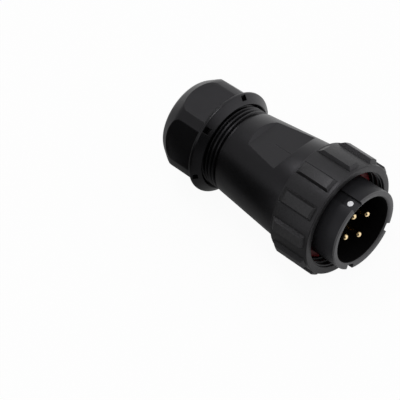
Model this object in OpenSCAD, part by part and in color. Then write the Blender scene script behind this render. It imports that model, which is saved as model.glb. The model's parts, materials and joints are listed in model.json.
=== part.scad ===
// Cable plug of a waterproof circular connector, lying on its coupling nut and its gland collar.
// Each piece is drawn upright along the plug's axis, with the mating end up and the seal flange at
// height 0, and lay_down() then puts it on the table: +X is the mating end, +Z is up.

/* [Plug shell] */
// Outside diameter of the barrel that enters the socket half
barrel_d = 27; // [25:0.1:30]
// Wall of the barrel
barrel_wall = 2.1; // [1.8:0.1:2.4]
// Reach of the barrel in front of the seal flange
barrel_len = 13; // [11:0.1:15]
// Depth of the contact cavity behind the rim
cavity_depth = 11.4; // [9:0.1:12]
// Step from the barrel out to the flange that the coupling nut pulls on
flange_step = 2.3; // [2:0.1:2.5]
// Thickness of the flange
flange_t = 4; // [3.5:0.1:5]
// Step from the flange down to the neck that the coupling nut turns on
neck_step = 1.1; // [0.9:0.1:1.3]
// Step from the neck down to the thread that joins the back shell
joint_step = 0.7; // [0.5:0.1:0.9]
// Length of that thread
joint_len = 5.3; // [5:0.1:6]
// Step in the bore that stops the contact insert
shoulder_step = 0.5; // [0.4:0.05:0.7]
// Distance of that step behind the flange's seal face
shoulder_back = 1.4; // [1:0.1:2]
// Depth of the seat that the face seal snaps into
seat_depth = 0.4; // [0.3:0.05:0.5]
// Edge chamfer of the shells
edge = 0.35; // [0.2:0.05:0.5]

/* [Keyways] */
// Width of the main keyway
key_w = 3.6; // [3:0.1:4]
// Width of the two side keyways
side_key_w = 3; // [2.4:0.1:3.4]
// Depth of the keyways
key_depth = 1; // [0.7:0.05:1.2]
// Length of the keyways from the rim
key_len = 9.9; // [8:0.1:10.5]
// Angle from the main keyway to each side keyway
key_spread = 137; // [130:1:145]
// Turn of the plug shell from the top
key_turn = 11; // [0:1:30]
// Diameter of the index dot
dot_d = 2.1; // [1.6:0.1:2.6]
// Distance of the dot behind the rim
dot_back = 3; // [2:0.1:4]
// Depth of the dot's recess
dot_depth = 0.35; // [0.25:0.05:0.5]

/* [Contacts] */
// Diameter of the mating pins
pin_d = 2.2; // [1.8:0.1:2.5]
// Diameter of the circle that the contacts stand on
pin_circle_d = 10.1; // [9.6:0.1:11]
// Distance of the pin tips behind the rim
pin_recess = 2.4; // [1.5:0.1:4]
// Step from the pin out to its root in the insert's face
root_step = 0.25; // [0.15:0.05:0.4]
// Step from the root out to the stem in the insert
stem_step = 0.35; // [0.25:0.05:0.5]
// Step from the stem out to the wire barrel
wire_barrel_step = 0.6; // [0.5:0.05:0.8]
// Depth of the narrow hole in the insert's face
face_web = 4; // [3:0.1:5]
// Length of the wire barrel
wire_barrel_len = 9; // [8:0.1:11]
// Diameter of the wire hole
wire_hole_d = 2.7; // [2:0.1:3]
// Depth of the wire hole
wire_hole_len = 6; // [5:0.1:7]
// Diameter of the terminal screws
screw_d = 2; // [1.8:0.1:2.4]
// Length of the terminal screws
screw_len = 2.6; // [2.2:0.1:3]
// Height of the screw heads above the wire barrel
screw_proud = 0.4; // [0.2:0.1:0.8]

/* [Contact insert] */
// Length of the insert behind its shoulder seal
insert_len = 7.2; // [6:0.1:8]
// Length of the ring that retains the insert
retainer_len = 2.2; // [1.6:0.1:2.6]
// Wall of that ring
retainer_wall = 2.6; // [2:0.1:3]

/* [Coupling nut] */
// Gap from the barrel to the roots of the coupling thread
mouth_gap = 3.5; // [3.3:0.1:4]
// Wall of the nut outside the thread
nut_wall = 1.85; // [1.6:0.05:2.4]
// Height of the grip ribs
rib_h = 1.25; // [0.9:0.05:1.6]
// Number of grip ribs
rib_count = 12; // [10:2:14]
// Width of a rib at its top
rib_w = 3.4; // [2.8:0.1:4]
// Spread of each flank of a rib, from its top to its foot
rib_draft = 0.35; // [0.2:0.05:0.5]
// Length of the slope at a rib's front end
rib_front_slope = 0.3; // [0.2:0.05:0.6]
// Length of the slope at a rib's rear end
rib_rear_slope = 1.7; // [1.2:0.1:2]
// Distance of the ribs behind the front face
rib_back = 0.8; // [0.7:0.1:1.2]
// Distance of the ribs from the rear face
rib_rear = 0.6; // [0.5:0.1:1.2]
// Length of the nut
nut_len = 14.2; // [13:0.1:16]
// Length of the threaded bore
nut_thread_len = 5.6; // [5:0.1:6]
// Depth of the relief behind the thread
relief_depth = 0.3; // [0.2:0.05:0.5]
// Thickness of the lip behind the flange
lip_t = 3.7; // [3:0.1:4]
// Chamfer of the nut's outer edges
nut_edge = 0.3; // [0.2:0.05:0.5]

/* [Back shell] */
// Wall outside the joint thread, at the front
shell_wall = 3; // [2.5:0.1:3.5]
// Step from the gland thread out to the rear shoulder
rear_step = 0.15; // [0.1:0.05:0.5]
// Length from the front face to the rear shoulder
shell_len = 28; // [27:0.1:32]
// Step from the joint thread in to the wiring space
wiring_step = 2; // [1.7:0.1:2.4]
// Wall left under the spanner flats
flats_wall = 1.35; // [1.1:0.05:1.6]
// Distance of the flats behind the front face
flats_back = 7.4; // [7:0.1:8.4]
// Length of the flats
flats_len = 12.9; // [11:0.1:14]
// Slope of the flats' front wall
flats_front_slope = 30; // [10:1:40]
// Slope of the flats' rear wall
flats_rear_slope = 45; // [20:1:50]
// Turn of the flats from the top
flats_turn = -5; // [-15:1:15]

/* [Gland] */
// Diameter of the gland thread
gland_thread_d = 28; // [27:0.1:30]
// Pitch of the gland thread
gland_pitch = 1.5; // [1:0.25:2]
// Length of the threaded spigot
spigot_len = 12.6; // [11:0.1:14]
// Width of the groove between the rear shoulder and the thread
runout_w = 0.8; // [0.6:0.1:1.2]
// Depth of that groove below the thread's crests
runout_depth = 0.9; // [0.7:0.05:1.1]
// Length of spigot that shows in front of the gland nut
spigot_show = 4.6; // [4:0.1:5.5]
// Wall of the gland nut at its flats
gland_wall = 1.48; // [1.3:0.02:1.8]
// Rise from the flats to the rounded corners
corner_rise = 1.5; // [1.1:0.1:1.9]
// Step from the corners out to the collar
collar_step = 0.5; // [0.4:0.1:1]
// Length of the cone from the mouth out to the collar's rim
collar_cone = 2.3; // [1.8:0.1:2.6]
// Length of the collar's rim
collar_len = 0.8; // [0.5:0.1:1.4]
// Length of the slope behind the rim
collar_slope = 1.7; // [1.2:0.1:2.2]
// Length of the tapered rear end
taper_len = 5.8; // [5:0.1:6.6]
// Depth of that taper below the corners
taper_depth = 3.1; // [2.6:0.1:3.4]
// Chamfer of the rear edge
taper_edge = 0.8; // [0.5:0.1:1.2]
// Turn of the gland nut's corners from the top
gland_turn = 35; // [0:1:59]
// Width of the notches in the collar's cone
notch_w = 2.1; // [1.6:0.1:3]
// Length of the notches
notch_len = 1.35; // [1:0.05:1.5]
// Wall left under the notches
notch_wall = 1; // [0.8:0.05:1.4]
// Distance of the notches behind the mouth
notch_back = 0.85; // [0.6:0.05:1]
// Thickness of the gland nut's rear wall
gland_end_t = 3.8; // [3.5:0.1:4.4]
// Lead-in at the gland nut's mouth
gland_lead = 0.8; // [0.5:0.1:1.2]
// Width of the mouth's edge round the lead-in
mouth_edge = 0.2; // [0.1:0.05:0.4]

/* [Cable seal and clamp] */
// Largest cable diameter
cable_d = 13.5; // [12:0.1:15]
// Wall of the rubber seal
seal_wall = 3.5; // [3:0.1:3.7]
// Length of the seal
cable_seal_len = 9.3; // [8:0.1:10]
// Gap round the cable in the passage in front of the seal
passage_gap = 1.45; // [1:0.05:2]
// Gap round the cable in the clamp
collet_gap = 0.6; // [0.4:0.05:0.8]
// Wall of the clamp's fingers
finger_wall = 1.85; // [1.6:0.05:2]
// Wall of the fingers at their tips
finger_tip_wall = 1; // [0.7:0.05:1.2]
// Length of the fingers
finger_len = 3.6; // [3:0.1:4.5]
// Number of fingers
finger_count = 10; // [8:1:12]
// Width of the slots between fingers
finger_slot = 1.1; // [0.8:0.1:1.4]
// Thickness of the clamp's flange
collet_flange_t = 1.25; // [1:0.05:1.5]
// Length of the thrust ring
thrust_len = 3.9; // [3.6:0.1:4.4]
// Wall of the thrust ring at its mouth
thrust_wall = 2.8; // [2.4:0.1:3]
// Lip of the cable hole below the thrust ring
hole_lip = 0.3; // [0.2:0.05:0.5]
// Tightening travel left before the cone meets the fingers
squeeze_travel = 2.1; // [1.6:0.1:2.4]

/* [Seals] */
// Thickness of the red face seal
face_seal_t = 1.9; // [1.4:0.1:2.4]
// Distance of the face seal's edge from the flange's edge
face_seal_margin = 0.1; // [0.05:0.05:0.4]
// Thickness of the insert's seal
insert_seal_t = 0.8; // [0.6:0.1:1]
// Width of the O-ring groove
groove_w = 1.7; // [1.4:0.1:1.9]
// Depth of the O-ring groove
groove_depth = 1.1; // [0.9:0.05:1.2]

/* [Fits] */
// Gap between pieces that are screwed or pushed together
fit_gap = 0.05; // [0.02:0.01:0.08]
// Radial gap of the gland nut on its thread
thread_gap = 0.08; // [0.04:0.01:0.1]
// Radial gap of the coupling nut on the neck
spin_gap = 0.1; // [0.06:0.01:0.1]
// End gap of the coupling nut on each side of its lip
end_gap = 0.3; // [0.2:0.05:0.4]

/* [Hidden] */
$fn = 96;
CONTACTS = 4;
KEYS = [0, 1, -1];
BIG = 60;

// Colours of the photographed pieces
black_plastic = "#2a2a2c";
shell_grey = "#3a3a3d";
seal_red = "#a01822";
dot_white = "#f4f4f2";
gold = "#d8a94a";
rubber = "#1c1c1d";
brass = "#b8934a";

// Radii of the plug shell, from the barrel outwards and then back to the tail
barrel_r = barrel_d / 2;
cavity_r = barrel_r - barrel_wall;
insert_bore_r = cavity_r + shoulder_step;
flange_r = barrel_r + flange_step;
neck_r = flange_r - neck_step;
joint_r = neck_r - joint_step;
groove_r = joint_r - groove_depth;

// Radii of the contacts
pin_r = pin_d / 2;
root_r = pin_r + root_step;
stem_r = root_r + stem_step;
wire_barrel_r = stem_r + wire_barrel_step;

// Radii of the coupling nut
nut_bore_r = barrel_r + mouth_gap;
relief_r = nut_bore_r + relief_depth;
nut_r = nut_bore_r + nut_wall;
rib_r = nut_r + rib_h;

// Radii of the back shell
shell_front_r = joint_r + shell_wall;
wiring_r = joint_r - wiring_step;
spigot_r = gland_thread_d / 2;
shell_rear_r = spigot_r + rear_step;
runout_r = spigot_r - runout_depth;

// Radii of the cable's way through the gland
cable_r = cable_d / 2;
passage_r = cable_r + passage_gap;
seal_seat_r = cable_r + seal_wall + fit_gap;
collet_bore_r = cable_r + collet_gap;
finger_r = collet_bore_r + finger_wall;
finger_tip_r = collet_bore_r + finger_tip_wall;
thrust_small_r = finger_tip_r - fit_gap;
thrust_mouth_r = spigot_r - thrust_wall;
cable_hole_r = thrust_small_r - hole_lip;

// Radii of the gland nut
gland_bore_r = spigot_r + thread_gap;
gland_apothem = gland_bore_r + gland_wall;
gland_corner_r = gland_apothem + corner_rise;
collar_r = gland_corner_r + collar_step;
taper_r = gland_corner_r - taper_depth;
mouth_r = gland_bore_r + gland_lead + mouth_edge;
notch_r = gland_bore_r + notch_wall;

// Heights along the axis, from the flange's seal face
rim_z = barrel_len;
cavity_z = rim_z - cavity_depth;
lip_front_z = -flange_t - end_gap;
nut_rear_z = lip_front_z - lip_t;
nut_front_z = nut_rear_z + nut_len;
rib_front_z = nut_front_z - rib_back;
rib_rear_z = nut_rear_z + rib_rear;
shell_front_z = nut_rear_z - end_gap;
tail_z = shell_front_z - joint_len;
insert_seal_z = -shoulder_back - insert_seal_t;
insert_rear_z = insert_seal_z - insert_len;
spigot_z = shell_front_z - shell_len;
spigot_end_z = spigot_z - spigot_len;
mouth_z = spigot_z - spigot_show;
collar_z = mouth_z - collar_cone;
collar_rear_z = collar_z - collar_len;

// The gland's stack behind the spigot: clamp, thrust ring and the nut's rear wall. The ring's cone stops
// short of the fingers by the tightening travel
thrust_slope = (thrust_mouth_r - thrust_small_r) / thrust_len;
collet_z = spigot_end_z - fit_gap;
finger_z = collet_z - collet_flange_t;
finger_tip_z = finger_z - finger_len;
finger_cone_z = finger_tip_z + (finger_r - finger_tip_r) / thrust_slope;
thrust_z = finger_tip_z - squeeze_travel - fit_gap / thrust_slope;
gland_floor_z = thrust_z - fit_gap;
gland_rear_z = gland_floor_z - gland_end_t;
gland_len = collar_z - gland_rear_z;

// Rest on the table: on the rear edge of the collar's rim, and on the tops of two neighbouring ribs
rib_turn = 180 / rib_count;
rib_rest_r = rib_r * cos(rib_turn - asin(rib_w / 2 / rib_r));
rib_rest_z = rib_rear_z + rib_rear_slope;
tilt = atan((rib_rest_r - collar_r) / (rib_rest_z - collar_rear_z));
rest_height = collar_r * cos(tilt) - collar_rear_z * sin(tilt);
front_x = rim_z * cos(tilt) + (barrel_r - edge) * sin(tilt);
rear_x = gland_rear_z * cos(tilt) - (taper_r - taper_edge) * sin(tilt);

// Puts an upright piece on the table, with the mating end towards +X and the part's middle over the origin
module lay_down() {
    translate([-(front_x + rear_x) / 2, 0, rest_height])
        rotate([0, 90 - tilt, 0])
            rotate([0, 0, 180])
                children();
}

// A turned shape from its half section, as [radius, height] points
module turned(points) {
    rotate_extrude() polygon(points);
}

// A plain ring between two heights
module ring(outer_r, inner_r, low_z, high_z) {
    turned([[inner_r, low_z], [outer_r, low_z], [outer_r, high_z], [inner_r, high_z]]);
}

// A hole along the axis between two heights
module bore(r, low_z, high_z) {
    translate([0, 0, low_z]) cylinder(r = r, h = high_z - low_z);
}

// Places its children at each contact, numbered from the one under the main keyway
module at_contact(i) {
    rotate([0, 0, key_turn + i * 360 / CONTACTS])
        translate([pin_circle_d / 2, 0, 0])
            children();
}

// Grip ribs: bars with drafted flanks, cut from a turned blank that slopes into the nut at both ends
module grip_ribs() {
    sink = rib_h / 5;
    rear_z = rib_rear_z - rib_rear_slope * sink / rib_h;
    front_z = rib_front_z + rib_front_slope * sink / rib_h;
    intersection() {
        turned([[0, rear_z], [nut_r - sink, rear_z], [rib_r, rib_rest_z],
                [rib_r, rib_front_z - rib_front_slope], [nut_r - sink, front_z], [0, front_z]]);
        for (i = [0 : rib_count - 1])
            rotate([0, 0, rib_turn + i * 360 / rib_count])
                translate([0, 0, nut_rear_z])
                    linear_extrude(nut_len)
                        rib_section();
    }
}

// Section of a rib across the axis: its flanks spread from the top edges down into the nut
module rib_section() {
    top_x = sqrt(pow(rib_r, 2) - pow(rib_w / 2, 2));
    spread = rib_draft / (top_x - nut_r);
    inner_x = (relief_r + nut_r) / 2;
    inner_half = rib_w / 2 + spread * (top_x - inner_x);
    tip_x = top_x + rib_w / 2 / spread;
    polygon([[inner_x, -inner_half], [tip_x, 0], [inner_x, inner_half]]);
}

// Free-turning ring: the lip at its rear is caught between the plug shell's flange and the back shell
module coupling_nut() {
    thread_end_z = nut_front_z - nut_thread_len;
    lip_r = neck_r + spin_gap;
    color(black_plastic) {
        turned([[lip_r, nut_rear_z], [nut_r - nut_edge, nut_rear_z], [nut_r, nut_rear_z + nut_edge],
                [nut_r, nut_front_z - nut_edge], [nut_r - nut_edge, nut_front_z],
                [nut_bore_r, nut_front_z], [nut_bore_r, thread_end_z],
                [relief_r, thread_end_z - relief_depth], [relief_r, lip_front_z], [lip_r, lip_front_z]]);
        grip_ribs();
    }
}

// Barrel, seal flange, neck and threaded tail in one piece, with the keyways cut in from the rim
module plug_shell() {
    seat_r = barrel_r - seat_depth;
    seat_z = face_seal_t + fit_gap;
    color(shell_grey)
        difference() {
            turned([[cavity_r, -shoulder_back], [cavity_r, rim_z - edge], [cavity_r + edge, rim_z],
                    [barrel_r - edge, rim_z], [barrel_r, rim_z - edge], [barrel_r, seat_z], [seat_r, seat_z],
                    [seat_r, 0], [flange_r, 0], [flange_r, edge - flange_t],
                    [flange_r - edge, -flange_t], [neck_r, -flange_t], [neck_r, shell_front_z],
                    [joint_r, shell_front_z], [joint_r, tail_z + edge], [joint_r - edge, tail_z],
                    [insert_bore_r, tail_z], [insert_bore_r, -shoulder_back]]);
            for (side = KEYS) keyway(side);
            o_ring_groove();
            dot_recess();
        }
}

// One keyway: the main one where side is 0, and a narrower one on either side of it
module keyway(side) {
    width = side == 0 ? key_w : side_key_w;
    rotate([0, 0, key_turn + side * key_spread])
        translate([barrel_r - key_depth, -width / 2, rim_z - key_len])
            cube([BIG, width, BIG]);
}

// Groove round the tail for the O-ring
module o_ring_groove() {
    top_z = shell_front_z - edge;
    ring(BIG, groove_r, top_z - groove_w, top_z);
}

// Shallow round recess in the floor of the main keyway
module dot_recess() {
    radial_disc(dot_d / 2 + fit_gap / 2, barrel_r - key_depth - dot_depth, BIG);
}

// A round bar that stands out from the axis at the index dot's place
module radial_disc(r, inner, outer) {
    rotate([0, 0, key_turn])
        translate([inner, 0, rim_z - dot_back])
            rotate([0, 90, 0])
                cylinder(r = r, h = outer - inner);
}

// White marker that fills the recess
module index_dot() {
    color(dot_white)
        radial_disc(dot_d / 2, barrel_r - key_depth - dot_depth, barrel_r - key_depth + fit_gap / 2);
}

// Red face seal on the flange, held in its seat, with a rounded front edge
module interface_seal() {
    inner_r = barrel_r - seat_depth + fit_gap;
    outer_r = flange_r - face_seal_margin;
    round_r = face_seal_t / 3;
    color(seal_red)
        rotate_extrude() {
            translate([inner_r, 0]) square([outer_r - inner_r, face_seal_t - round_r]);
            translate([inner_r + round_r, 0]) square([outer_r - inner_r - 2 * round_r, face_seal_t]);
            for (r = [inner_r + round_r, outer_r - round_r])
                translate([r, face_seal_t - round_r]) circle(r = round_r);
        }
}

// Insulating body: a face that fills the cavity's floor, a wider flange behind the seal, and stepped holes
module pin_insert() {
    color(black_plastic)
        difference() {
            union() {
                bore(cavity_r - fit_gap, insert_rear_z, cavity_z);
                bore(insert_bore_r - fit_gap, insert_rear_z, insert_seal_z);
            }
            for (i = [0 : CONTACTS - 1])
                at_contact(i) {
                    bore(root_r + fit_gap, insert_rear_z - 1, cavity_z + 1);
                    bore(stem_r + fit_gap, insert_rear_z - 1, cavity_z - face_web);
                }
        }
}

// Flat seal between the shell's shoulder and the insert's flange
module insert_seal() {
    color(rubber)
        ring(insert_bore_r - fit_gap, cavity_r, insert_seal_z, -shoulder_back);
}

// Ring behind the insert
module insert_retainer() {
    color(black_plastic)
        ring(insert_bore_r - fit_gap, insert_bore_r - retainer_wall, insert_rear_z - retainer_len,
             insert_rear_z);
}

// One turned contact: round-tipped pin, stem in the insert and wire barrel behind it
module contact(i) {
    tip_z = rim_z - pin_recess - pin_r;
    barrel_end_z = insert_rear_z - wire_barrel_len;
    color(gold)
        at_contact(i)
            difference() {
                union() {
                    translate([0, 0, tip_z]) sphere(r = pin_r);
                    bore(pin_r, insert_rear_z, tip_z);
                    bore(root_r, insert_rear_z, cavity_z);
                    bore(stem_r, insert_rear_z, cavity_z - face_web - fit_gap);
                    bore(wire_barrel_r, barrel_end_z, insert_rear_z);
                }
                bore(wire_hole_d / 2, barrel_end_z - 1, barrel_end_z + wire_hole_len);
                translate([0, 0, barrel_end_z + wire_hole_len / 2])
                    rotate([0, 90, 0])
                        cylinder(d = screw_d + 2 * fit_gap, h = BIG);
            }
}

// Slotted screws that clamp the wires, one in each wire barrel
module terminal_screws() {
    head_x = wire_barrel_r + screw_proud;
    slot_w = screw_d / 4;
    color(brass)
        for (i = [0 : CONTACTS - 1])
            at_contact(i)
                translate([head_x - screw_len, 0, insert_rear_z - wire_barrel_len + wire_hole_len / 2])
                    rotate([0, 90, 0])
                        difference() {
                            cylinder(d = screw_d, h = screw_len);
                            translate([-screw_d, -slot_w / 2, screw_len - slot_w])
                                cube([2 * screw_d, slot_w, 2 * slot_w]);
                        }
}

// O-ring in the tail's groove, drawn at its squeezed height
module body_o_ring() {
    section_r = (joint_r - groove_r) / 2;
    color(rubber)
        rotate_extrude()
            translate([groove_r + section_r, shell_front_z - edge - groove_w / 2])
                circle(r = section_r);
}

// Tapered shell with its threaded spigot, and the thread's runout groove behind the rear shoulder
module back_shell() {
    runout_z = spigot_z - runout_w;
    color(black_plastic)
        difference() {
            turned([[0, shell_front_z], [shell_front_r - edge, shell_front_z],
                    [shell_front_r, shell_front_z - edge], [shell_rear_r, spigot_z + edge],
                    [shell_rear_r - edge, spigot_z], [runout_r, spigot_z], [runout_r, runout_z],
                    [spigot_r, runout_z - runout_depth / 2], [spigot_r, spigot_end_z + gland_pitch / 2],
                    [spigot_r - gland_pitch / 2, spigot_end_z], [0, spigot_end_z]]);
            shell_bores();
            for (half = [0, 180]) spanner_flat(flats_turn + half);
        }
}

// Space inside the back shell: joint thread, wiring space that narrows to the cable passage, and seal seat
module shell_bores() {
    seat_z = spigot_end_z + cable_seal_len + fit_gap;
    step_z = tail_z - fit_gap;
    narrow_z = spigot_z + gland_pitch;
    turned([[0, shell_front_z + 1], [joint_r + fit_gap, shell_front_z + 1], [joint_r + fit_gap, step_z],
            [wiring_r, step_z], [wiring_r, narrow_z + wiring_r - passage_r], [passage_r, narrow_z],
            [passage_r, seat_z], [seal_seat_r, seat_z], [seal_seat_r, spigot_end_z - 1],
            [0, spigot_end_z - 1]]);
}

// One spanner flat: a pocket parallel to the axis, with sloping end walls
module spanner_flat(turn) {
    half_af = wiring_r + flats_wall;
    front_z = shell_front_z - flats_back;
    rear_z = front_z - flats_len;
    height = shell_front_r - half_af + 1;
    rotate([0, 0, turn])
        translate([0, BIG / 2, 0])
            rotate([90, 0, 0])
                linear_extrude(BIG)
                    polygon([[half_af, rear_z], [half_af, front_z],
                             [half_af + height, front_z + height * tan(flats_front_slope)],
                             [half_af + height, rear_z - height * tan(flats_rear_slope)]]);
}

// Rubber sleeve in the spigot
module cable_seal() {
    color(rubber)
        ring(cable_r + seal_wall, cable_r, spigot_end_z, spigot_end_z + cable_seal_len);
}

// Flanged ring on the end of the spigot, with fingers that close on the cable
module clamp_collet() {
    flange_out_r = spigot_r - gland_pitch / 2;
    color(black_plastic)
        difference() {
            turned([[collet_bore_r, finger_tip_z], [finger_tip_r, finger_tip_z], [finger_r, finger_cone_z],
                    [finger_r, finger_z], [flange_out_r, finger_z], [flange_out_r, collet_z],
                    [collet_bore_r, collet_z]]);
            for (i = [0 : finger_count - 1])
                rotate([0, 0, i * 360 / finger_count])
                    translate([0, -finger_slot / 2, finger_tip_z - 1])
                        cube([finger_r + 1, finger_slot, finger_z - finger_tip_z + 1]);
        }
}

// Ring that pushes the fingers in with its cone
module thrust_ring() {
    color(black_plastic)
        turned([[thrust_small_r, thrust_z], [spigot_r, thrust_z], [spigot_r, thrust_z + thrust_len],
                [thrust_mouth_r, thrust_z + thrust_len]]);
}

// Gland nut: a hex cut from a tapered blank, with a round collar that narrows to its mouth
module gland_nut() {
    color(black_plastic)
        difference() {
            union() {
                intersection() {
                    tapered_blank();
                    rotate([0, 0, gland_turn])
                        translate([0, 0, gland_rear_z])
                            cylinder(r = gland_apothem / cos(30), h = gland_len, $fn = 6);
                }
                turned([[0, mouth_z], [mouth_r, mouth_z], [collar_r, collar_z],
                        [collar_r, collar_rear_z], [gland_apothem - edge, collar_rear_z - collar_slope],
                        [0, collar_rear_z - collar_slope]]);
            }
            turned([[0, mouth_z + 1], [gland_bore_r + gland_lead + 1, mouth_z + 1],
                    [gland_bore_r, mouth_z - gland_lead], [gland_bore_r, gland_floor_z],
                    [cable_hole_r, gland_floor_z], [cable_hole_r, gland_rear_z + edge],
                    [cable_hole_r + edge + 1, gland_rear_z - 1], [0, gland_rear_z - 1]]);
            for (i = [0 : 5]) collar_notch(gland_turn + i * 60);
        }
}

// Round blank of the gland nut, with its tapered rear end
module tapered_blank() {
    turned([[0, gland_rear_z], [taper_r - taper_edge, gland_rear_z], [taper_r, gland_rear_z + taper_edge],
            [gland_corner_r, gland_rear_z + taper_len], [gland_corner_r, collar_z], [0, collar_z]]);
}

// Small slot in the collar's cone, in line with a corner of the hex
module collar_notch(turn) {
    rotate([0, 0, turn])
        translate([notch_r, -notch_w / 2, mouth_z - notch_back - notch_len])
            cube([BIG, notch_w, notch_len]);
}

lay_down() gland_nut();
lay_down() thrust_ring();
lay_down() clamp_collet();
lay_down() cable_seal();
lay_down() back_shell();
lay_down() body_o_ring();
lay_down() coupling_nut();
lay_down() interface_seal();
lay_down() plug_shell();
lay_down() index_dot();
lay_down() insert_seal();
lay_down() pin_insert();
lay_down() insert_retainer();
lay_down() contact(0);  // contact_pin_1
lay_down() contact(1);  // contact_pin_2
lay_down() contact(2);  // contact_pin_3
lay_down() contact(3);  // contact_pin_4
lay_down() terminal_screws();
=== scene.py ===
# %% [markdown]
# # Cable plug of a waterproof circular connector
# This notebook dresses a finished construction model. The frame holds every piece of the plug at its real
# size. The cells below give the pieces their finish, add the threads that the construction leaves smooth,
# and put the plug on a pale table under soft light. Blender works in metres here. The plug is only 74 mm
# long, so its pieces are drawn in millimetres and turned into metres when they are laid down. The stage
# round the plug is written in metres.

# %% Load the frame
import json
import math

import bmesh
import bpy
from mathutils import Matrix, Vector


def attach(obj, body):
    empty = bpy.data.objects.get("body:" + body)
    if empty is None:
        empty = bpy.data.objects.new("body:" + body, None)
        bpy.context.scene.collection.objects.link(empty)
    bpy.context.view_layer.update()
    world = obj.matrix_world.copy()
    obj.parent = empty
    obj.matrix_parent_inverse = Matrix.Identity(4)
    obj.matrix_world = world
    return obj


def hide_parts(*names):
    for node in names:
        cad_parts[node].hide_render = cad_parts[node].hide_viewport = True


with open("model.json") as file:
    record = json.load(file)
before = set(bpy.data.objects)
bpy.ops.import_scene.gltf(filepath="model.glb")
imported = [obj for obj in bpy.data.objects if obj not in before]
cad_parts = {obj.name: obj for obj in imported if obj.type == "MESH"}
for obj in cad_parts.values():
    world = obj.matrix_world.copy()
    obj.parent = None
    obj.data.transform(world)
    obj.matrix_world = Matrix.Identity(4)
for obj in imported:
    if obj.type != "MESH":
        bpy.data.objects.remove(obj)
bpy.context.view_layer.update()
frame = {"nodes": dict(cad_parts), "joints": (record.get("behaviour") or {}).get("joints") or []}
nodes = frame["nodes"]

# %% [markdown]
# ## The plug's own axis
# Almost every piece of a circular connector is turned about one line. The plug rests on its coupling nut and
# on the collar of its gland, so that line is tilted by a few degrees. It is easier to draw each piece
# upright, as on a lathe, and to lay the finished mesh down once. The coupling nut turns on the axis, so its
# joint gives both a point on the axis and its direction. Heights count from the seal face of the plug's
# flange, and angles count from the top towards the viewer's side.

# %% Axis and resting place
MM = 0.001
NUT_FRONT = 6.2
NUT_REAR = -8.0
nut_joint = next(joint for joint in frame["joints"] if joint["name"] == "coupling_spin")
mating_way = Vector(nut_joint["axis"]).normalized()
side_way = Vector((0, -1, 0))
up_way = side_way.cross(mating_way)
flange_middle = Vector(nut_joint["pos_m"]) - mating_way * (NUT_FRONT + NUT_REAR) / 2 * MM
resting_turn = Matrix((up_way, side_way, mating_way)).transposed()
lay_down = Matrix.Translation(flange_middle) @ resting_turn.to_4x4() @ Matrix.Scale(MM, 4)
print("the axis leans back by", round(math.degrees(mating_way.angle((1, 0, 0))), 2), "degrees")

# %% [markdown]
# ## Camera
# The plug is seen from in front and above, with the mating end towards the lower right. A long lens keeps
# the two ends nearly the same size. The camera's place and directions are given along the plug's own three
# ways, up, side and mating, so the view stays the same however the plug rests.

# %% Camera
CAMERA_PLACE = (457.206, 288.742, 279.076)
CAMERA_RIGHT = (-0.080260, -0.698688, 0.710910)
CAMERA_UP = (0.662789, -0.570106, -0.485478)
camera_data = bpy.data.cameras.new("camera")
camera_data.lens = 180
camera_data.sensor_width = 36
camera_data.clip_end = 10
camera = bpy.data.objects.new("camera", camera_data)
bpy.context.collection.objects.link(camera)
right_way = (resting_turn @ Vector(CAMERA_RIGHT)).normalized()
back_way = right_way.cross(resting_turn @ Vector(CAMERA_UP)).normalized()
camera_turn = Matrix((right_way, back_way.cross(right_way), back_way)).transposed().to_4x4()
camera.matrix_world = Matrix.Translation(lay_down @ Vector(CAMERA_PLACE)) @ camera_turn
bpy.context.scene.camera = camera
bpy.context.scene.view_settings.view_transform = "Standard"
print("camera stands", round(camera.matrix_world.translation.length, 3), "m from the plug")

# %% [markdown]
# ## Room and lamps
# A black plug shows its form only through what it mirrors, so the room comes before the plug. A photographer
# would hang white and black sheets round it. Here the world does that: its brightness follows the direction
# in which a reflection leaves. A bright wall behind the plug draws the upper outlines, pale walls on the
# right and on the viewer's side fill in the rest, and the corner between those two stays dark. An even white
# room would turn the black plastic grey. Where the camera looks straight at the world, it is even and pale.
# Two soft lamps hang above. The fill lamp is hidden from reflections, so only the key lamp makes highlights.

# %% Node helpers
def add_node(tree, kind, **values):
    """Adds a node, sets its properties, and sets the inputs whose names are given."""
    node = tree.nodes.new(kind)
    for name, value in values.items():
        if name in node.bl_rna.properties:
            setattr(node, name, value)
        else:
            node.inputs[name.replace("_", " ")].default_value = value
    return node


def join(tree, start, end):
    """Joins an output socket to an input socket."""
    tree.links.new(start, end)


def add_ramp(tree, source, span, rise=(0.0, 1.0)):
    """A smooth change from the first to the second value of rise, as the source goes through the span."""
    ramp = add_node(tree, "ShaderNodeMapRange", interpolation_type="SMOOTHSTEP")
    for name, value in zip(("From Min", "From Max", "To Min", "To Max"), (*span, *rise)):
        ramp.inputs[name].default_value = value
    join(tree, source, ramp.inputs["Value"])
    return ramp.outputs["Result"]


def add_math(tree, operation, first, second):
    """A math node that takes two sockets, or a socket and a number."""
    node = add_node(tree, "ShaderNodeMath", operation=operation)
    for slot, value in enumerate((first, second)):
        if isinstance(value, float):
            node.inputs[slot].default_value = value
        else:
            join(tree, value, node.inputs[slot])
    return node.outputs[0]


# %% Walls of the room
ROOM = 0.42
BACK_WALL = 1.0
BACK_SPAN = (0.0, 0.8)
FRONT_WALL = 0.55
FRONT_SPAN = (-0.55, -0.85)
RIGHT_WALL = 0.7
RIGHT_SPAN = (0.45, 0.8)
RIGHT_END = (-0.15, 0.0)
DARK_CORNER = 0.92
CORNER_SPAN = (0.1, 0.4)
CORNER_END = (-0.05, -0.22)


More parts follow.
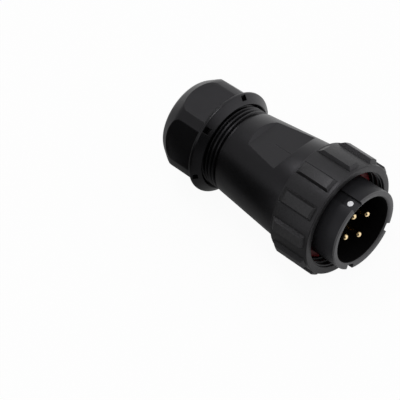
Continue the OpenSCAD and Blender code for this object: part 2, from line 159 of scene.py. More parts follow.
def room_light(tree):
    """The room's brightness in each direction, where X points to the right and Y away from the viewer."""
    way = add_node(tree, "ShaderNodeSeparateXYZ")
    join(tree, add_node(tree, "ShaderNodeTexCoord").outputs["Generated"], way.inputs[0])
    rightward, backward = way.outputs["X"], way.outputs["Y"]
    back = add_ramp(tree, backward, BACK_SPAN, (ROOM, BACK_WALL))
    front = add_ramp(tree, backward, FRONT_SPAN, (0.0, FRONT_WALL))
    right = add_ramp(tree, rightward, RIGHT_SPAN, (0.0, RIGHT_WALL))
    right = add_math(tree, "MULTIPLY", right, add_ramp(tree, backward, RIGHT_END))
    dark = add_ramp(tree, rightward, CORNER_SPAN, (0.0, DARK_CORNER))
    dark = add_math(tree, "MULTIPLY", dark, add_ramp(tree, backward, CORNER_END))
    kept = add_math(tree, "SUBTRACT", 1.0, dark)
    walls = add_math(tree, "MULTIPLY", add_math(tree, "ADD", back, front), kept)
    return add_math(tree, "ADD", walls, right)


# %% World
ROOM_COLOUR = (0.8, 0.8, 0.8, 1)
world = bpy.data.worlds.new("studio")
world.use_nodes = True
bpy.context.scene.world = world
tree = world.node_tree
tree.nodes.clear()
rays = add_node(tree, "ShaderNodeLightPath").outputs
seen = add_math(tree, "MAXIMUM", rays["Is Camera Ray"], rays["Is Transmission Ray"])
strength = add_node(tree, "ShaderNodeMix", data_type="FLOAT", B=1.0)
glow = add_node(tree, "ShaderNodeBackground", Color=ROOM_COLOUR)
sky = add_node(tree, "ShaderNodeOutputWorld")
join(tree, seen, strength.inputs["Factor"])
join(tree, room_light(tree), strength.inputs["A"])
join(tree, strength.outputs["Result"], glow.inputs["Strength"])
join(tree, glow.outputs[0], sky.inputs["Surface"])
print("world made with", len(tree.nodes), "nodes")

# %% Lamps
PLUG_MIDDLE = (0, 0, 0.02)
KEY_PLACE = (-0.28, 0.01, 0.80)
FILL_PLACE = (0.25, -0.25, 0.85)


def add_lamp(name, place, size, watts):
    """Hangs a square soft lamp at a place in metres, turned to face the plug."""
    data = bpy.data.lights.new(name, "AREA")
    data.shape = "SQUARE"
    data.size = size
    data.energy = watts
    lamp = bpy.data.objects.new(name, data)
    lamp.location = place
    lamp.rotation_euler = (Vector(PLUG_MIDDLE) - Vector(place)).to_track_quat("-Z", "Y").to_euler()
    bpy.context.collection.objects.link(lamp)
    return lamp


key_lamp = add_lamp("key_lamp", KEY_PLACE, size=0.22, watts=1.35)
fill_lamp = add_lamp("fill_lamp", FILL_PLACE, size=0.6, watts=2.3)
fill_lamp.visible_glossy = False
print("lamps hung:", key_lamp.name, fill_lamp.name)

# %% [markdown]
# ## Table and card
# The plug lies on a white table. Lit paper alone would come out grey and uneven, so to the camera the table
# glows white, with a small share of lit paper mixed in to keep the plug's shadow. In reflections the table
# is white behind the plug and shaded beside it. A near-black card, which photographers call a flag, stands
# beside the rear half of the plug. It shows in reflections only, and leaves a dark band along the shell on
# the viewer's side.

# %% Stage pieces
def make_sheet(name, size, material):
    """A flat rectangle round the origin."""
    bm = bmesh.new()
    bmesh.ops.create_grid(bm, x_segments=1, y_segments=1, size=0.5)
    bmesh.ops.scale(bm, vec=(*size, 1), verts=bm.verts)
    mesh = bpy.data.meshes.new(name)
    bm.to_mesh(mesh)
    bm.free()
    mesh.materials.append(material)
    sheet = bpy.data.objects.new(name, mesh)
    bpy.context.collection.objects.link(sheet)
    return sheet


def empty_material(name):
    """A material with nothing in its node tree but the output."""
    material = bpy.data.materials.new(name)
    material.use_nodes = True
    material.node_tree.nodes.clear()
    return material.node_tree, add_node(material.node_tree, "ShaderNodeOutputMaterial"), material


# %% Table in reflections
TABLE_WHITE = 0.95
TABLE_SHADE = 0.18
TABLE_REAR = 0.4
BEHIND_SPAN = (-0.02, 0.03)
AHEAD_SPAN = (0.01, 0.07)
AHEAD_END = (-0.04, -0.015)
REAR_SPAN = (-0.03, -0.07)


def mirrored_table(tree):
    """How bright the table is in reflections: pale round the plug, and shaded on the viewer's side."""
    place = add_node(tree, "ShaderNodeSeparateXYZ")
    join(tree, add_node(tree, "ShaderNodeTexCoord").outputs["Object"], place.inputs[0])
    along, across = place.outputs["X"], place.outputs["Y"]
    behind = add_ramp(tree, across, BEHIND_SPAN, (TABLE_SHADE, TABLE_WHITE))
    ahead = add_ramp(tree, along, AHEAD_SPAN, (TABLE_SHADE, TABLE_WHITE))
    ahead = add_math(tree, "MULTIPLY", ahead, add_ramp(tree, across, AHEAD_END))
    rear = add_ramp(tree, along, REAR_SPAN, (TABLE_SHADE, TABLE_REAR))
    return add_math(tree, "MAXIMUM", behind, add_math(tree, "MAXIMUM", ahead, rear))


# %% Table
TABLE_WIDTH = 8
PAPER = (0.82, 0.82, 0.82, 1)
PAPER_COVER = 0.95


def make_table():
    """A wide table that is white to the camera, with a faint shadow of the plug."""
    tree, out, material = empty_material("white_table")
    rays = add_node(tree, "ShaderNodeLightPath").outputs
    white = add_node(tree, "ShaderNodeEmission")
    lit = add_math(tree, "MAXIMUM", rays["Is Camera Ray"], mirrored_table(tree))
    join(tree, lit, white.inputs["Strength"])
    paper = add_node(tree, "ShaderNodeBsdfDiffuse", Color=PAPER)
    cover = add_math(tree, "MULTIPLY", rays["Is Camera Ray"], PAPER_COVER)
    mix = add_node(tree, "ShaderNodeMixShader")
    join(tree, add_math(tree, "MAXIMUM", cover, rays["Is Glossy Ray"]), mix.inputs["Fac"])
    join(tree, paper.outputs[0], mix.inputs[1])
    join(tree, white.outputs[0], mix.inputs[2])
    join(tree, mix.outputs[0], out.inputs["Surface"])
    return make_sheet("table", (TABLE_WIDTH, TABLE_WIDTH), material)


table = make_table()
print("table", table.dimensions[0], "m wide")

# %% Black card
CARD_LENGTH = 0.095
CARD_HEIGHT = 0.04
CARD_SIDE = -0.04
CARD_GLOW = 0.03


def make_card():
    """A card that stands on the table, from the plug's middle to behind its rear end."""
    tree, out, material = empty_material("black_card")
    join(tree, add_node(tree, "ShaderNodeEmission", Strength=CARD_GLOW).outputs[0], out.inputs["Surface"])
    card = make_sheet("black_card", (CARD_LENGTH, CARD_HEIGHT), material)
    card.rotation_euler = (math.radians(90), 0, 0)
    card.location = (-CARD_LENGTH / 2, CARD_SIDE, CARD_HEIGHT / 2)
    card.visible_camera = False
    card.visible_diffuse = False
    card.visible_shadow = False
    return card


card = make_card()
print("card", round(card.dimensions[0], 3), "m long")

# %% [markdown]
# ## Shared surface effects
# Moulded nylon is never quite even: the mould's spark-eroded skin leaves a fine grain, and the melt leaves
# faint cloudy patches. Every edge has a small radius too, since a mould can't hold a knife edge. Both
# effects appear on several pieces, so each is a node group that a material places with its own values.

# %% Grain group
GRAIN_DETAIL = 3.0
PATCH_DETAIL = 5.0
NOISE_ROUGHNESS = 0.6


def make_grain_group():
    """Fine grain for colour and bump, and broad cloudy patches for gloss."""
    group = bpy.data.node_groups.new("moulded_grain", "ShaderNodeTree")
    for name in ("Grain Size", "Patch Size"):
        group.interface.new_socket(name, in_out="INPUT", socket_type="NodeSocketFloat")
    for name in ("Grain", "Patches"):
        group.interface.new_socket(name, in_out="OUTPUT", socket_type="NodeSocketFloat")
    into = add_node(group, "NodeGroupInput")
    out = add_node(group, "NodeGroupOutput")
    place = add_node(group, "ShaderNodeTexCoord")
    for size_name, out_name, detail in (("Grain Size", "Grain", GRAIN_DETAIL),
                                        ("Patch Size", "Patches", PATCH_DETAIL)):
        noise = add_node(group, "ShaderNodeTexNoise", Detail=detail, Roughness=NOISE_ROUGHNESS)
        join(group, place.outputs["Object"], noise.inputs["Vector"])
        join(group, add_math(group, "DIVIDE", 1.0, into.outputs[size_name]), noise.inputs["Scale"])
        join(group, noise.outputs["Fac"], out.inputs[out_name])
    return group


GRAIN = make_grain_group()
print("node group:", GRAIN.name)

# %% Soft edge group
EDGE_SAMPLES = 6


def make_edge_group():
    """A normal that rolls over sharp edges."""
    group = bpy.data.node_groups.new("soft_edge", "ShaderNodeTree")
    group.interface.new_socket("Radius", in_out="INPUT", socket_type="NodeSocketFloat")
    group.interface.new_socket("Normal", in_out="OUTPUT", socket_type="NodeSocketVector")
    into = add_node(group, "NodeGroupInput")
    out = add_node(group, "NodeGroupOutput")
    rolled = add_node(group, "ShaderNodeBevel", samples=EDGE_SAMPLES)
    join(group, into.outputs["Radius"], rolled.inputs["Radius"])
    join(group, rolled.outputs["Normal"], out.inputs["Normal"])
    return group


SOFT_EDGE = make_edge_group()
print("node group:", SOFT_EDGE.name)

# %% [markdown]
# ## Finishes
# One function makes every moulded finish, because plastic and rubber differ only in colour, gloss, grain and
# how round their edges are. The colour follows the grain, the gloss drifts over the patches, and the grain
# also bends the light through a bump. Glass-filled nylon is deep black with a cool sheen, so nearly all that
# shows of it is what it mirrors. The tops of the grip ribs get a paler copy of the nylon as a painted
# highlight, and the rim of the barrel is painted a paler dark grey for the light it catches. The insert's
# black is also laid on the inner wall of the barrel's mouth as painted shade. Gold and brass are the same
# finish with the metal switched on.

# %% One moulded finish
PATCH_SIZE = 9
PATCH_SPAN = (0.3, 0.7)
BUMP_STRENGTH = 0.5


def moulded(name, dark, light, gloss, grain, edge, shine=0.5):
    """Two nearby colours, a range of roughness, the grain's size and depth, and the edge radius, in mm."""
    material = bpy.data.materials.new(name)
    material.use_nodes = True
    tree = material.node_tree
    shader = tree.nodes["Principled BSDF"]
    shader.inputs["Specular IOR Level"].default_value = shine
    grain_size, grain_depth = grain
    skin = add_node(tree, "ShaderNodeGroup", node_tree=GRAIN)
    skin.inputs["Grain Size"].default_value = grain_size * MM
    skin.inputs["Patch Size"].default_value = PATCH_SIZE * MM
    rolled = add_node(tree, "ShaderNodeGroup", node_tree=SOFT_EDGE)
    rolled.inputs["Radius"].default_value = edge * MM
    colour = add_node(tree, "ShaderNodeMix", data_type="RGBA")
    colour.inputs["A"].default_value = (*dark, 1)
    colour.inputs["B"].default_value = (*light, 1)
    bump = add_node(tree, "ShaderNodeBump", Strength=BUMP_STRENGTH, Distance=grain_depth * MM)
    join(tree, skin.outputs["Grain"], colour.inputs["Factor"])
    join(tree, skin.outputs["Grain"], bump.inputs["Height"])
    join(tree, rolled.outputs["Normal"], bump.inputs["Normal"])
    join(tree, colour.outputs["Result"], shader.inputs["Base Color"])
    join(tree, add_ramp(tree, skin.outputs["Patches"], PATCH_SPAN, gloss), shader.inputs["Roughness"])
    join(tree, bump.outputs["Normal"], shader.inputs["Normal"])
    return material


def grey(value, blue=1.0):
    """A grey colour, a little bluer where blue is over 1."""
    return (value, value, value * blue)


# %% Nylon finishes
COOL_SHEEN = (0.95, 0.93, 1.0, 1)


def nylon(name, **values):
    """A moulded finish with the cool sheen of black nylon."""
    material = moulded(name, **values)
    material.node_tree.nodes["Principled BSDF"].inputs["Specular Tint"].default_value = COOL_SHEEN
    return material


shell_nylon = nylon("shell_nylon", dark=grey(0.0003, 1.1), light=grey(0.0030, 1.1),
                    gloss=(0.32, 0.40), grain=(0.4, 0.05), edge=0.15)
grip_nylon = nylon("grip_nylon", dark=grey(0.0003), light=grey(0.0160),
                   gloss=(0.38, 0.46), grain=(0.4, 0.12), edge=0.15)
# A paler copy of the grip nylon for the rib tops: a painted highlight.
rib_top_painted_highlight = nylon("rib_top_painted_highlight", dark=grey(0.001), light=grey(0.040),
                   gloss=(0.38, 0.46), grain=(0.4, 0.12), edge=0.15)
barrel_nylon = nylon("barrel_nylon", dark=grey(0.016, 1.1), light=grey(0.022, 1.1),
                     gloss=(0.34, 0.42), grain=(0.3, 0.02), edge=0.1, shine=0.18)
# The barrel's rim band, painted paler: painted light where the rim catches the light.
rim_painted_light = nylon("rim_painted_light", dark=grey(0.055, 1.02), light=grey(0.075, 1.02),
                  gloss=(0.4, 0.5), grain=(0.3, 0.03), edge=0.1)
# The insert's own black nylon, also laid on the barrel's inner wall as painted shade.
insert_nylon_and_painted_cavity_shade = nylon("insert_nylon_and_painted_cavity_shade", dark=grey(0.0008), light=grey(0.0014),
                     gloss=(0.6, 0.7), grain=(0.2, 0.02), edge=0.1, shine=0.15)
print("nylon finishes made")

# %% Rubber, paint and metal finishes
TURNED_GRAIN = (0.12, 0.004)


def plated(name, **values):
    """Plated metal with the faint marks of turning."""
    material = moulded(name, grain=TURNED_GRAIN, **values)
    material.node_tree.nodes["Principled BSDF"].inputs["Metallic"].default_value = 1.0
    return material


red_rubber = moulded("red_rubber", dark=(0.12, 0.004, 0.008), light=(0.17, 0.006, 0.011),
                     gloss=(0.35, 0.45), grain=(0.3, 0.02), edge=0.1, shine=0.3)
black_rubber = moulded("black_rubber", dark=grey(0.003), light=grey(0.005),
                       gloss=(0.6, 0.75), grain=(0.2, 0.03), edge=0.1)
white_paint = moulded("white_paint", dark=grey(0.88, 1.03), light=grey(0.94, 1.03),
                      gloss=(0.4, 0.5), grain=(0.15, 0.02), edge=0.05)
gold_plate = plated("gold_plate", dark=(0.92, 0.68, 0.34), light=(1.0, 0.80, 0.50),
                    gloss=(0.06, 0.12), edge=0.12)
screw_brass = plated("screw_brass", dark=(0.62, 0.44, 0.16), light=(0.72, 0.52, 0.21),
                     gloss=(0.25, 0.38), edge=0.08)
print("rubber, paint and metal finishes made")

# %% Dress the construction pieces
FINISHES = {
    "gland_nut": shell_nylon, "thrust_ring": shell_nylon, "clamp_collet": shell_nylon,
    "cable_seal": black_rubber, "back_shell": shell_nylon, "body_o_ring": black_rubber,
    "coupling_nut": grip_nylon, "interface_seal": red_rubber, "plug_shell": barrel_nylon,
    "index_dot": white_paint, "insert_seal": black_rubber, "pin_insert": insert_nylon_and_painted_cavity_shade,
    "insert_retainer": insert_nylon_and_painted_cavity_shade, "terminal_screws": screw_brass,
}
for name, node in nodes.items():
    node.data.materials.clear()
    node.data.materials.append(FINISHES.get(name, gold_plate))
print("dressed", len(nodes), "pieces")

# %% [markdown]
# ## Turning, cutting and placing
# A turned piece is a half section spun about the axis. Its corners are rounded while it is still a wire,
# which costs a few points instead of a bevel on hundreds of edges. Slots and ribs come from simple blocks
# that an exact Boolean takes out of the turned form or adds to it, as a cutter or a mould would. A cutter
# overruns the faces that it cuts, so that no skin is left there. The Boolean returns its points in any
# order, so they are sorted along an odd direction and then merge the same way each run. A finished piece is
# laid down, smoothed up to its sharp edges and given the body that carries it.

# %% Lathe
AXIS = (0, 0, 1)
MIDDLE = (0, 0, 0)
FULL_TURN = 2 * math.pi
ROUND_STEPS = 128
CORNER_STEPS = 4
MERGE_GAP = 0.0005


def section(points):
    """A closed wire of (radius, height) or (radius, height, rounding) points, in mm."""
    bm = bmesh.new()
    corners = [bm.verts.new((point[0], 0, point[1])) for point in points]
    for start, end in zip(corners, corners[1:] + corners[:1]):
        bm.edges.new((start, end))
    for corner, point in zip(corners, points):
        if len(point) == 3:
            bmesh.ops.bevel(bm, geom=[corner], offset=point[2], segments=CORNER_STEPS, profile=0.5,
                            affect="VERTICES", material=-1)
    return bm


def close_up(bm):
    """Merges what meets, and turns the faces outwards."""
    bmesh.ops.remove_doubles(bm, verts=bm.verts, dist=MERGE_GAP)
    bmesh.ops.recalc_face_normals(bm, faces=bm.faces)
    return bm


def lathe(points):
    """A turned piece with the given half section."""
    bm = section(points)
    bmesh.ops.spin(bm, geom=bm.verts[:] + bm.edges[:], axis=AXIS, cent=MIDDLE, angle=FULL_TURN,
                   steps=ROUND_STEPS, use_merge=True)
    return close_up(bm)


# %% Turning round, trimming and repeating
CUT_GAP = 0.0001


def turned_by(bm, degrees, about="Z"):
    """Turns a mesh about the plug's axis, or about another way through the middle."""
    turn = Matrix.Rotation(math.radians(degrees), 3, about)
    bmesh.ops.rotate(bm, verts=bm.verts, cent=MIDDLE, matrix=turn)
    return bm


def trim(bm, point, outwards):
    """Cuts off what lies beyond a plane, and closes the cut."""
    bmesh.ops.bisect_plane(bm, geom=bm.verts[:] + bm.edges[:] + bm.faces[:], dist=CUT_GAP,
                           plane_co=point, plane_no=outwards, clear_outer=True)
    bmesh.ops.holes_fill(bm, edges=[edge for edge in bm.edges if edge.is_boundary])
    return bm


def repeat(bm, count):
    """Copies a mesh round the axis, at equal turns."""
    bmesh.ops.spin(bm, geom=bm.verts[:] + bm.edges[:] + bm.faces[:], axis=AXIS, cent=MIDDLE,
                   angle=FULL_TURN * (count - 1) / count, steps=count - 1, use_duplicate=True)
    return bm


# %% Blocks
OVERRUN = 1


def prism(outline, half_width):
    """A block with the given (radius, height) outline, as wide on both sides of it."""
    bm = bmesh.new()
    corners = [bm.verts.new((radius, -half_width, height)) for radius, height in outline]
    face = bm.faces.new(corners)
    made = bmesh.ops.extrude_face_region(bm, geom=[face])
    moved = [item for item in made["geom"] if isinstance(item, bmesh.types.BMVert)]
    bmesh.ops.translate(bm, verts=moved, vec=(0, 2 * half_width, 0))
    return close_up(bm)


def slot_block(floor_r, outer_r, rear, front, half_width):
    """A square block that cuts a slot down to the floor radius, between two heights."""
    return prism([(floor_r, rear), (floor_r, front), (outer_r, front), (outer_r, rear)], half_width)


# %% Cutting and joining
SORT_WAY = Vector((1.0, 37.1, 1409.3))


def combine(bm, tool, operation="DIFFERENCE"):
    """Takes the tool's solid out of a mesh, or adds it with UNION."""
    meshes = []
    for name, source in (("blank", bm), ("tool", tool)):
        mesh = bpy.data.meshes.new(name)
        source.to_mesh(mesh)
        source.free()
        meshes.append(mesh)
    objects = [bpy.data.objects.new(mesh.name, mesh) for mesh in meshes]
    for made in objects:
        bpy.context.collection.objects.link(made)
    boolean = objects[0].modifiers.new("combine", "BOOLEAN")
    boolean.operation = operation
    boolean.solver = "EXACT"
    boolean.object = objects[1]
    ready = objects[0].evaluated_get(bpy.context.evaluated_depsgraph_get())
    result = bmesh.new()
    result.from_mesh(ready.to_mesh())
    result.verts.sort(key=lambda vert: vert.co.dot(SORT_WAY))
    for made in objects:
        bpy.data.objects.remove(made)
    for mesh in meshes:
        bpy.data.meshes.remove(mesh)
    return close_up(result)


# %% Placing
SHARP = math.radians(24)


def place(bm, name, body, slot, finishes, replaced=()):
    """Lays an upright mesh down on the table and makes it a piece that rides on a body."""
    bmesh.ops.transform(bm, matrix=lay_down, verts=bm.verts)
    mesh = bpy.data.meshes.new(name)
    bm.to_mesh(mesh)
    bm.free()
    mesh.shade_smooth()
    mesh.set_sharp_from_angle(angle=SHARP)
    for coat in finishes:
        mesh.materials.append(coat)
    piece = bpy.data.objects.new(name, mesh)
    bpy.context.collection.objects.link(piece)
    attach(piece, body)
    if replaced:
        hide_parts(*replaced)
    print(name, "has", len(mesh.polygons), "faces")
    return piece


# %% [markdown]
# ## Coupling nut
# The coupling nut is the ring that a hand turns to lock the plug in place. It is moulded as a plain ring
# with twelve grip ribs, which end steeply at the mouth and run out in a long slope at the rear. One rib is
# spun as a short arc, its two sides are trimmed with a little draft, and its upper edges are bevelled before
# it is copied round. Pockets a little wider than the ribs are cut into the ring first, so that a fine groove
# stays along each side of a rib once the ribs are joined to the ring.

# %% Rib sizes
NUT_R = 18.85
RIB_R = 20.1
RIB_FOOT_R = NUT_R - 0.25
RIB_ROOT_R = RIB_FOOT_R - 0.4
RIB_REAR = -7.74
RIB_REAR_TOP = -5.7
RIB_FRONT_TOP = 4.7
RIB_FRONT = 5.46
RIB_COUNT = 12
RIB_HALF = 1.7
RIB_DRAFT = 0.3
print(RIB_COUNT, "ribs stand", round(RIB_R - NUT_R, 2), "mm above the nut")

# %% Grip ribs
RIB_ARC = 20
RIB_ARC_STEPS = 12
RIB_EDGE = 0.2
RIB_EDGE_STEPS = 3
RIB_EDGE_FROM_R = NUT_R + 0.5
RIB_EDGE_ANGLE = 0.3


def rib_blank(half_section, half_width):
    """One drafted rib on top of the nut, cut from a short arc with the given half section."""
    bm = section(half_section)
    turned_by(bm, -RIB_ARC / 2)
    bmesh.ops.spin(bm, geom=bm.verts[:] + bm.edges[:], axis=AXIS, cent=MIDDLE,
                   angle=math.radians(RIB_ARC), steps=RIB_ARC_STEPS)
    for side in (-1, 1):
        trim(bm, (RIB_R, side * half_width, 0), (RIB_DRAFT, side, 0))
    return close_up(bm)


def ring_of_ribs(bm):
    """Copies a rib round the nut, with the top of the nut between two ribs."""
    return turned_by(repeat(bm, RIB_COUNT), 180 / RIB_COUNT)


def grip_ribs():
    """The ring of ribs, each with sloped ends and rounded upper edges."""
    bm = rib_blank([(RIB_ROOT_R, RIB_REAR), (RIB_FOOT_R, RIB_REAR), (RIB_R, RIB_REAR_TOP),
                    (RIB_R, RIB_FRONT_TOP), (RIB_FOOT_R, RIB_FRONT), (RIB_ROOT_R, RIB_FRONT)], RIB_HALF)
    upper = [edge for edge in bm.edges if edge.calc_face_angle(0) > RIB_EDGE_ANGLE
             and max(vert.co.xy.length for vert in edge.verts) > RIB_EDGE_FROM_R]
    bmesh.ops.bevel(bm, geom=upper, offset=RIB_EDGE, offset_type="OFFSET", segments=RIB_EDGE_STEPS,
                    profile=0.5, affect="EDGES", material=-1, clamp_overlap=True)
    return ring_of_ribs(bm)


# %% Grooves beside the ribs
GROOVE_W = 0.3
GROOVE_FLOOR_R = NUT_R - 0.15
GROOVE_OUTER_R = RIB_R + OVERRUN
GROOVE_REAR = -7.4
GROOVE_FRONT = 5.3


def rib_pockets():
    """Shallow pockets a little wider than the ribs, which leave a fine groove along each side."""
    return ring_of_ribs(rib_blank([(GROOVE_FLOOR_R, GROOVE_REAR), (GROOVE_OUTER_R, GROOVE_REAR),
                                   (GROOVE_OUTER_R, GROOVE_FRONT), (GROOVE_FLOOR_R, GROOVE_FRONT)],
                                  RIB_HALF + GROOVE_W))


# %% Ribbed nut
MOUTH_END = NUT_FRONT + 0.4
MOUTH_REAR = NUT_FRONT - 0.2
MOUTH_R = 16.5
NUT_BORE_R = 17.0
NUT_BORE_FRONT = NUT_FRONT - 0.7
NUT_BORE_REAR = 0.6
NUT_ROOM_R = 17.3
NUT_ROOM_FRONT = 0.3
NUT_ROOM_REAR = -4.3
NUT_HOLE_R = 14.8
nut_ring = lathe([
    (NUT_HOLE_R, NUT_REAR, 0.2), (NUT_R, NUT_REAR, 0.12), (NUT_R, MOUTH_END, 0.35),
    (MOUTH_R, MOUTH_END, 0.25), (MOUTH_R, MOUTH_REAR), (NUT_BORE_R, NUT_BORE_FRONT),
    (NUT_BORE_R, NUT_BORE_REAR), (NUT_ROOM_R, NUT_ROOM_FRONT), (NUT_ROOM_R, NUT_ROOM_REAR),
    (NUT_HOLE_R, NUT_ROOM_REAR, 0.2)])
nut_ring = combine(nut_ring, rib_pockets())
ribbed_nut = combine(nut_ring, grip_ribs(), "UNION")
# Faces on the rib tops take the paler copy of the nylon, a painted highlight.
for face in ribbed_nut.faces:
    face.material_index = int(face.calc_center_median().xy.length > RIB_R - RIB_EDGE)
place(ribbed_nut, "ribbed_nut", "coupling_nut", "black_plastic", [grip_nylon, rib_top_painted_highlight],
      ["coupling_nut"])

# %% [markdown]
# ## Threads
# A thread is a ridge that climbs by one pitch a turn. A sculpted spiral would do, but a spin that also moves
# along the axis is exact: the section of one ridge is turned a few times, and the ends are cut off square,
# where the real ridge runs out into the face of its piece. The mouth of the coupling nut holds a coarse
# thread, which pulls the plug home when the nut is turned.

# %% Thread ridge
TURN_STEPS = 64


def thread_ridge(foot_r, crest_r, foot_w, crest_w, pitch, low, high, crest_at):
    """A right-hand ridge between two heights, with a crest at the given height on top of the plug."""
    turns = math.ceil((high - low) / pitch) + 2
    start = crest_at - math.ceil((crest_at - low) / pitch + 1) * pitch
    bm = section([(foot_r, start - foot_w / 2), (crest_r, start - crest_w / 2),
                  (crest_r, start + crest_w / 2), (foot_r, start + foot_w / 2)])
    bmesh.ops.spin(bm, geom=bm.verts[:] + bm.edges[:], axis=AXIS, cent=MIDDLE,
                   angle=FULL_TURN * turns, steps=TURN_STEPS * turns,
                   dvec=(0, 0, pitch / TURN_STEPS))
    for height, outwards in ((low, -1), (high, 1)):
        trim(bm, (0, 0, height), (0, 0, outwards))
    return close_up(bm)


# %% Coupling thread
coupling_thread = thread_ridge(foot_r=17.06, crest_r=16.05, foot_w=1.5, crest_w=0.7, pitch=2.0,
                               low=0.7, high=5.9, crest_at=4.6)
place(coupling_thread, "coupling_thread", "coupling_nut", "black_plastic", [grip_nylon])

# %% [markdown]
# ## Plug shell
# The barrel is the mating end of the plug. It is turned with its flange, neck and tail in one go, and its
# rim is rounded on the inside. The rim band is painted a paler grey, as painted light for the light it
# catches, and the inner wall of the mouth takes the insert's black as painted shade. One wide and two narrow
# keyways are then cut down its side, so that the plug only mates one way round. A white dot on the floor of
# the wide one shows the eye which way is up.

# %% Turned barrel
RIM = 13.0
RIM_BAND = 0.6
RIM_ROUND = 1.05
BARREL_R = 13.5
CAVITY_R = 11.4
SEAL_SEAT_R = 13.1
SEAL_SEAT_FRONT = 1.95
FLANGE_R = 15.8
FLANGE_REAR = -4.0
NECK_R = 14.7
NECK_REAR = -8.3
TAIL_R = 14.0
TAIL_END = -13.6
RING_SEAT_R = 12.9
RING_SEAT_FRONT = -8.65
RING_SEAT_REAR = -10.35
INSERT_R = 11.9
INSERT_SHOULDER = -1.4
barrel = lathe([
    (CAVITY_R, INSERT_SHOULDER), (CAVITY_R, RIM, RIM_ROUND), (BARREL_R, RIM, 0.2),
    (BARREL_R, RIM - RIM_BAND), (BARREL_R, SEAL_SEAT_FRONT), (SEAL_SEAT_R, SEAL_SEAT_FRONT),
    (SEAL_SEAT_R, 0), (FLANGE_R, 0), (FLANGE_R, FLANGE_REAR, 0.3), (NECK_R, FLANGE_REAR),
    (NECK_R, NECK_REAR), (TAIL_R, NECK_REAR), (TAIL_R, RING_SEAT_FRONT), (RING_SEAT_R, RING_SEAT_FRONT),
    (RING_SEAT_R, RING_SEAT_REAR), (TAIL_R, RING_SEAT_REAR), (TAIL_R, TAIL_END, 0.3),
    (INSERT_R, TAIL_END), (INSERT_R, INSERT_SHOULDER)])
print("barrel turned,", round(RIM - TAIL_END, 1), "mm long")

# %% Keyed barrel
KEY_TURN = 11
KEY_SPREAD = 137
KEY_END = 3.1
KEY_OUTER_R = BARREL_R + OVERRUN
KEY_FLOOR_R = 12.3
KEY_HALF = 1.8
SIDE_FLOOR_R = 11.9
SIDE_HALF = 1.5
for turn, floor_r, half_width in ((0, KEY_FLOOR_R, KEY_HALF), (KEY_SPREAD, SIDE_FLOOR_R, SIDE_HALF),
                                  (-KEY_SPREAD, SIDE_FLOOR_R, SIDE_HALF)):
    keyway = slot_block(floor_r, KEY_OUTER_R, KEY_END, RIM + OVERRUN, half_width)
    barrel = combine(barrel, turned_by(keyway, KEY_TURN + turn))
barrel_coats = [barrel_nylon, rim_painted_light, insert_nylon_and_painted_cavity_shade]
for face in barrel.faces:
    middle = face.calc_center_median()
    coat = barrel_nylon
    # The rim band is painted paler, as painted light.
    if middle.z > RIM - RIM_BAND:
        coat = rim_painted_light
    # The inner wall of the mouth takes the insert's black as painted shade.
    elif middle.xy.length < CAVITY_R + RIM_ROUND / 4:
        coat = insert_nylon_and_painted_cavity_shade
    face.material_index = barrel_coats.index(coat)
place(barrel, "keyed_barrel", "plug_body", "shell_plastic", barrel_coats, ["plug_shell"])

# %% Index mark
DOT_HEIGHT = 10.0
DOT_R = 0.98
DOT_FOOT = KEY_FLOOR_R - 0.35
DOT_TOP = KEY_FLOOR_R + 0.02
dot = turned_by(lathe([(0, DOT_FOOT), (DOT_R, DOT_FOOT), (DOT_R, DOT_TOP, 0.1), (0, DOT_TOP)]), 90, "Y")
bmesh.ops.translate(dot, verts=dot.verts, vec=(0, 0, DOT_HEIGHT))
place(turned_by(dot, KEY_TURN), "index_mark", "plug_body", "white_dot", [white_paint], ["index_dot"])

# %% [markdown]
# ## Back shell
# The tapered shell behind the coupling nut carries two spanner flats and ends in the spigot of the gland.
# The round form is turned in one go, walls and bores together, and the two flats are cut out of it with a
# wedge, as a milling cutter would do. The parting of the mould leaves a fine line on each flat, which is cut
# as a narrow slot. The spigot is turned to the thread's root, and the ridge is laid on it.

# %% Turned shell
SHELL_FRONT = -8.3
SHELL_FRONT_R = 17.0
SHOULDER = -35.9
SHOULDER_R = 14.15
SPIGOT_END = -48.9
THREAD_ROOT = 13.1
SOCKET_R = 14.05
SOCKET_FLOOR = -13.65
WIRING_R = 12.0
WIRING_REAR = -31.0
CABLE_R = 8.2
CABLE_FRONT = -34.8
SLEEVE_R = 10.3
SLEEVE_FLOOR = -39.55
shell = lathe([
    (SOCKET_R, SHELL_FRONT, 0.2), (SHELL_FRONT_R, SHELL_FRONT, 0.4), (SHOULDER_R, SHOULDER, 0.3),
    (THREAD_ROOT, SHOULDER), (THREAD_ROOT, SPIGOT_END, 0.3), (SLEEVE_R, SPIGOT_END, 0.2),
    (SLEEVE_R, SLEEVE_FLOOR), (CABLE_R, SLEEVE_FLOOR), (CABLE_R, CABLE_FRONT), (WIRING_R, WIRING_REAR),
    (WIRING_R, SOCKET_FLOOR), (SOCKET_R, SOCKET_FLOOR)])
print("shell turned,", round(SHELL_FRONT - SPIGOT_END, 1), "mm long")

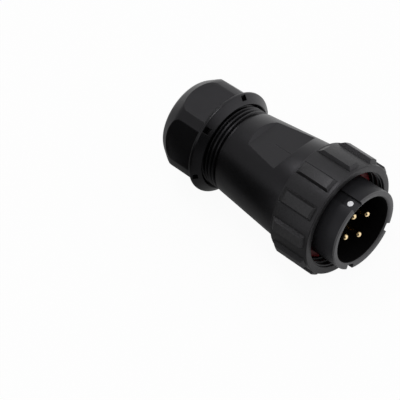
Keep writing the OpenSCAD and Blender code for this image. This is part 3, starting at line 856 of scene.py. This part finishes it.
# %% Tapered shell
FLATS_TURN = -5
FLAT_R = 13.35
FLAT_FRONT = -15.7
FLAT_REAR = -28.6
WEDGE_R = 18.35
WEDGE_FRONT = -12.81
WEDGE_REAR = -33.6
WEDGE_HALF = 30
LINE_FLOOR_R = 13.32
LINE_OUTER_R = 14
LINE_FRONT = -15.6
LINE_REAR = -22.5
LINE_HALF = 0.12
for half_turn in (0, 180):
    wedge = prism([(FLAT_R, FLAT_REAR), (FLAT_R, FLAT_FRONT),
                   (WEDGE_R, WEDGE_FRONT), (WEDGE_R, WEDGE_REAR)], WEDGE_HALF)
    shell = combine(shell, turned_by(wedge, FLATS_TURN + half_turn))
    line = slot_block(LINE_FLOOR_R, LINE_OUTER_R, LINE_REAR, LINE_FRONT, LINE_HALF)
    shell = combine(shell, turned_by(line, half_turn))
place(shell, "tapered_shell", "plug_body", "black_plastic", [shell_nylon], ["back_shell"])

# %% Gland thread
gland_thread = thread_ridge(foot_r=THREAD_ROOT - 0.05, crest_r=13.98, foot_w=1.25, crest_w=0.35,
                            pitch=1.5, low=SPIGOT_END + 0.4, high=SHOULDER - 0.95, crest_at=-37.68)
place(gland_thread, "gland_thread", "plug_body", "black_plastic", [shell_nylon])

# %% [markdown]
# ## Gland nut
# The gland nut squeezes the clamp round the cable. A round blank with a tapered rear end is trimmed to six
# flats, a round collar is joined to its front, and the bore and six small notches are taken out. Where the
# corners of the hexagon would be, the round blank shows as a narrow strip.

# %% Gland blank
GLAND_REAR = -59.82
GLAND_REAR_R = 13.16
GLAND_FRONT = -43.2
GLAND_R = 17.06
GLAND_DOME_R = 13.96
GLAND_DOME = GLAND_REAR + 0.8
GLAND_TAPER = GLAND_REAR + 5.8
GLAND_SIDES = 6
GLAND_FLAT = 15.56
GLAND_TURN = 35
gland = lathe([
    (0, GLAND_REAR), (GLAND_REAR_R, GLAND_REAR, 0.4), (GLAND_DOME_R, GLAND_DOME, 0.6),
    (GLAND_R, GLAND_TAPER, 1.6), (GLAND_R, GLAND_FRONT), (0, GLAND_FRONT)])
for side in range(GLAND_SIDES):
    turn = math.radians(GLAND_TURN + (side + 0.5) * 360 / GLAND_SIDES)
    outwards = Vector((math.cos(turn), math.sin(turn), 0))
    trim(gland, outwards * GLAND_FLAT, outwards)
print("gland blank trimmed to", GLAND_SIDES, "flats")

# %% Collar and bore
GLAND_MOUTH = -40.9
GLAND_MOUTH_R = 15.08
COLLAR_R = 17.56
COLLAR_REAR = -44.0
COLLAR_FOOT_R = 15.21
COLLAR_FOOT = -45.7
GLAND_BORE_R = 14.08
GLAND_BORE_FLOOR = -56.02
BORE_CHAMFER = 0.8
CABLE_HOLE_R = 8.0
HOLE_CHAMFER = 0.35
collar = lathe([
    (0, GLAND_MOUTH), (GLAND_MOUTH_R, GLAND_MOUTH, 0.1), (COLLAR_R, GLAND_FRONT, 0.25),
    (COLLAR_R, COLLAR_REAR, 0.25), (COLLAR_FOOT_R, COLLAR_FOOT), (0, COLLAR_FOOT)])
bore = lathe([
    (0, GLAND_MOUTH + OVERRUN), (GLAND_BORE_R + BORE_CHAMFER + OVERRUN, GLAND_MOUTH + OVERRUN),
    (GLAND_BORE_R, GLAND_MOUTH - BORE_CHAMFER), (GLAND_BORE_R, GLAND_BORE_FLOOR),
    (CABLE_HOLE_R, GLAND_BORE_FLOOR), (CABLE_HOLE_R, GLAND_REAR + HOLE_CHAMFER, 0.3),
    (CABLE_HOLE_R + HOLE_CHAMFER + OVERRUN, GLAND_REAR - OVERRUN), (0, GLAND_REAR - OVERRUN)])
gland = combine(combine(close_up(gland), collar, "UNION"), bore)
print("collar joined and bore cut")

# %% Hexagonal gland
NOTCH_FLOOR_R = 15.08
NOTCH_OUTER_R = 20
NOTCH_FRONT = -41.75
NOTCH_REAR = -43.1
NOTCH_HALF = 1.05
notch = slot_block(NOTCH_FLOOR_R, NOTCH_OUTER_R, NOTCH_REAR, NOTCH_FRONT, NOTCH_HALF)
gland = combine(gland, turned_by(repeat(notch, GLAND_SIDES), GLAND_TURN))
place(gland, "hexagonal_gland", "gland_nut", "black_plastic", [shell_nylon], ["gland_nut"])

# %% Finish
print("finished")
